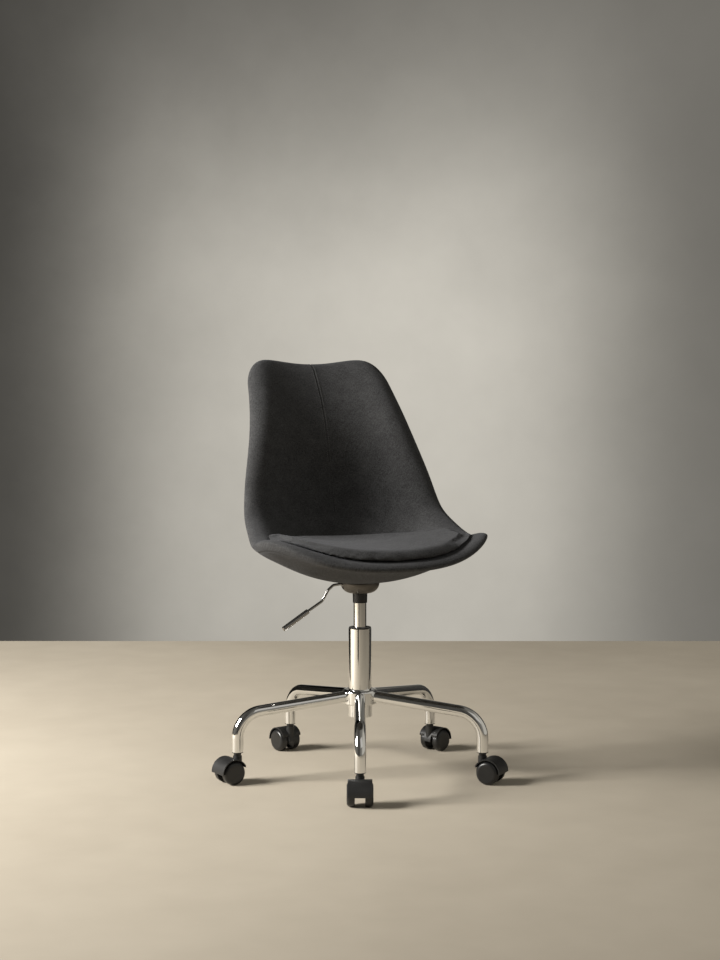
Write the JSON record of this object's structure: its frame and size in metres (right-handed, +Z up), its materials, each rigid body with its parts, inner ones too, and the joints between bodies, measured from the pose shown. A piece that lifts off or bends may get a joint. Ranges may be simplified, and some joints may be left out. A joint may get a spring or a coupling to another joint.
{
  "type": "swivel office chair",
  "caption": "Swivel desk chair: padded fabric bucket seat with a cushion, gas lift with height lever, bent-tube star base on twin-wheel casters.",
  "frame": {"origin": "on the floor under the swivel axis", "axes": "+Z up along the swivel axis, the sitter faces -Y, the seat is symmetric about X = 0"},
  "size_m": [0.616, 0.6542, 0.9112],
  "materials": {
    "chrome": "polished chrome plate",
    "dark_chrome": "dark polished steel",
    "bowl_metal": "satin plated steel",
    "black_plastic": "moulded, fine texture",
    "caster_plastic": "moulded, fine texture",
    "wheel_nylon": "moulded nylon, semi-gloss",
    "black_enamel": "black stove enamel",
    "bearing_steel": "ground steel",
    "spring_steel": "oiled spring steel",
    "zinc_steel": "zinc plated",
    "brass": "turned brass",
    "rubber": "moulded rubber",
    "shell_plastic": "moulded polypropylene",
    "charcoal_fabric": "heathered woven upholstery"
  },
  "bodies": {
    "base": {"base_hub": "chrome", "leg_1": "chrome", "leg_2": "chrome", "leg_3": "chrome", "leg_4": "chrome", "leg_5": "chrome", "leg_sockets": "black_plastic", "stem_rings": "spring_steel", "column_tube": "chrome", "column_bush": "black_plastic", "thrust_bearing": "bearing_steel"},
    "spindle": {"piston_rod": "bearing_steel", "rod_clip": "spring_steel", "bump_stop": "rubber", "piston": "bearing_steel"},
    "seat": {"gas_cylinder": "chrome", "cylinder_seal": "rubber", "taper_collar": "black_enamel", "lever_bracket": "black_enamel", "lever_pivot": "spring_steel", "seat_plate": "black_enamel", "plate_bolts": "zinc_steel", "shell_inserts": "brass", "mechanism_bowl": "bowl_metal", "seat_shell": "shell_plastic", "shell_boss": "shell_plastic", "front_upholstery": "charcoal_fabric", "rear_upholstery": "charcoal_fabric", "seat_cushion": "charcoal_fabric"},
    "lever": {"lever_rod": "dark_chrome", "lever_grip": "dark_chrome"},
    "valve": {"valve_pin": "bearing_steel"},
    "caster_1": {"caster_hood_1": "caster_plastic", "caster_stem_1": "black_enamel", "wheel_axle_1": "zinc_steel"},
    "wheel_left_1": {"wheel_left_1": "wheel_nylon"},
    "wheel_right_1": {"wheel_right_1": "wheel_nylon"},
    "caster_2": {"caster_hood_2": "caster_plastic", "caster_stem_2": "black_enamel", "wheel_axle_2": "zinc_steel"},
    "wheel_left_2": {"wheel_left_2": "wheel_nylon"},
    "wheel_right_2": {"wheel_right_2": "wheel_nylon"},
    "caster_3": {"caster_hood_3": "caster_plastic", "caster_stem_3": "black_enamel", "wheel_axle_3": "zinc_steel"},
    "wheel_left_3": {"wheel_left_3": "wheel_nylon"},
    "wheel_right_3": {"wheel_right_3": "wheel_nylon"},
    "caster_4": {"caster_hood_4": "caster_plastic", "caster_stem_4": "black_enamel", "wheel_axle_4": "zinc_steel"},
    "wheel_left_4": {"wheel_left_4": "wheel_nylon"},
    "wheel_right_4": {"wheel_right_4": "wheel_nylon"},
    "caster_5": {"caster_hood_5": "caster_plastic", "caster_stem_5": "black_enamel", "wheel_axle_5": "zinc_steel"},
    "wheel_left_5": {"wheel_left_5": "wheel_nylon"},
    "wheel_right_5": {"wheel_right_5": "wheel_nylon"}
  },
  "joints": [
    {"name": "seat_swivel", "type": "hinge", "parent": "base", "child": "spindle", "pos_m": [0, 0, 0.14], "axis": [0, 0, 1], "continuous": true},
    {"name": "seat_height", "type": "slide", "parent": "spindle", "child": "seat", "axis": [0, 0, 1], "range_m": [-0.05, 0.06]},
    {"name": "lever_lift", "type": "hinge", "parent": "seat", "child": "lever", "pos_m": [-0.022, 0, 0.4115], "axis": [0, 1, 0], "range_deg": [0, 6], "stiffness_Nm_per_rad": 1.5},
    {"name": "valve_press", "type": "slide", "parent": "seat", "child": "valve", "axis": [0, 0, -1], "range_m": [0, 0.0025]},
    {"name": "caster_swivel_1", "type": "hinge", "parent": "base", "child": "caster_1", "pos_m": [-0.0968, -0.2589, 0.06], "axis": [0, 0, 1], "continuous": true},
    {"name": "wheel_roll_left_1", "type": "hinge", "parent": "caster_1", "child": "wheel_left_1", "pos_m": [-0.10363, -0.27716, 0.025], "axis": [0.9367, -0.3502, 0], "continuous": true},
    {"name": "wheel_roll_right_1", "type": "hinge", "parent": "caster_1", "child": "wheel_right_1", "pos_m": [-0.10363, -0.27716, 0.025], "axis": [0.9367, -0.3502, 0], "continuous": true},
    {"name": "caster_swivel_2", "type": "hinge", "parent": "base", "child": "caster_2", "pos_m": [0.21631, -0.17206, 0.06], "axis": [0, 0, 1], "continuous": true},
    {"name": "wheel_roll_left_2", "type": "hinge", "parent": "caster_2", "child": "wheel_left_2", "pos_m": [0.22949, -0.18644, 0.025], "axis": [0.7373, 0.6756, 0], "continuous": true},
    {"name": "wheel_roll_right_2", "type": "hinge", "parent": "caster_2", "child": "wheel_right_2", "pos_m": [0.22949, -0.18644, 0.025], "axis": [0.7373, 0.6756, 0], "continuous": true},
    {"name": "caster_swivel_3", "type": "hinge", "parent": "base", "child": "caster_3", "pos_m": [0.23049, 0.15255, 0.06], "axis": [0, 0, 1], "continuous": true},
    {"name": "wheel_roll_left_3", "type": "hinge", "parent": "caster_3", "child": "wheel_left_3", "pos_m": [0.24762, 0.16186, 0.025], "axis": [-0.4772, 0.8788, 0], "continuous": true},
    {"name": "wheel_roll_right_3", "type": "hinge", "parent": "caster_3", "child": "wheel_right_3", "pos_m": [0.24762, 0.16186, 0.025], "axis": [-0.4772, 0.8788, 0], "continuous": true},
    {"name": "caster_swivel_4", "type": "hinge", "parent": "base", "child": "caster_4", "pos_m": [-0.07387, 0.26635, 0.06], "axis": [0, 0, 1], "continuous": true},
    {"name": "wheel_roll_left_4", "type": "hinge", "parent": "caster_4", "child": "wheel_left_4", "pos_m": [-0.07973, 0.28495, 0.025], "axis": [-0.9537, -0.3007, 0], "continuous": true},
    {"name": "wheel_roll_right_4", "type": "hinge", "parent": "caster_4", "child": "wheel_right_4", "pos_m": [-0.07973, 0.28495, 0.025], "axis": [-0.9537, -0.3007, 0], "continuous": true},
    {"name": "caster_swivel_5", "type": "hinge", "parent": "base", "child": "caster_5", "pos_m": [-0.27614, 0.01206, 0.06], "axis": [0, 0, 1], "continuous": true},
    {"name": "wheel_roll_left_5", "type": "hinge", "parent": "caster_5", "child": "wheel_left_5", "pos_m": [-0.2951, 0.0075, 0.025], "axis": [0.2334, -0.9724, 0], "continuous": true},
    {"name": "wheel_roll_right_5", "type": "hinge", "parent": "caster_5", "child": "wheel_right_5", "pos_m": [-0.2951, 0.0075, 0.025], "axis": [0.2334, -0.9724, 0], "continuous": true}
  ],
  "couplings": [
    {"joint": "valve_press", "follows": "lever_lift", "m_per_rad": 0.022}
  ]
}
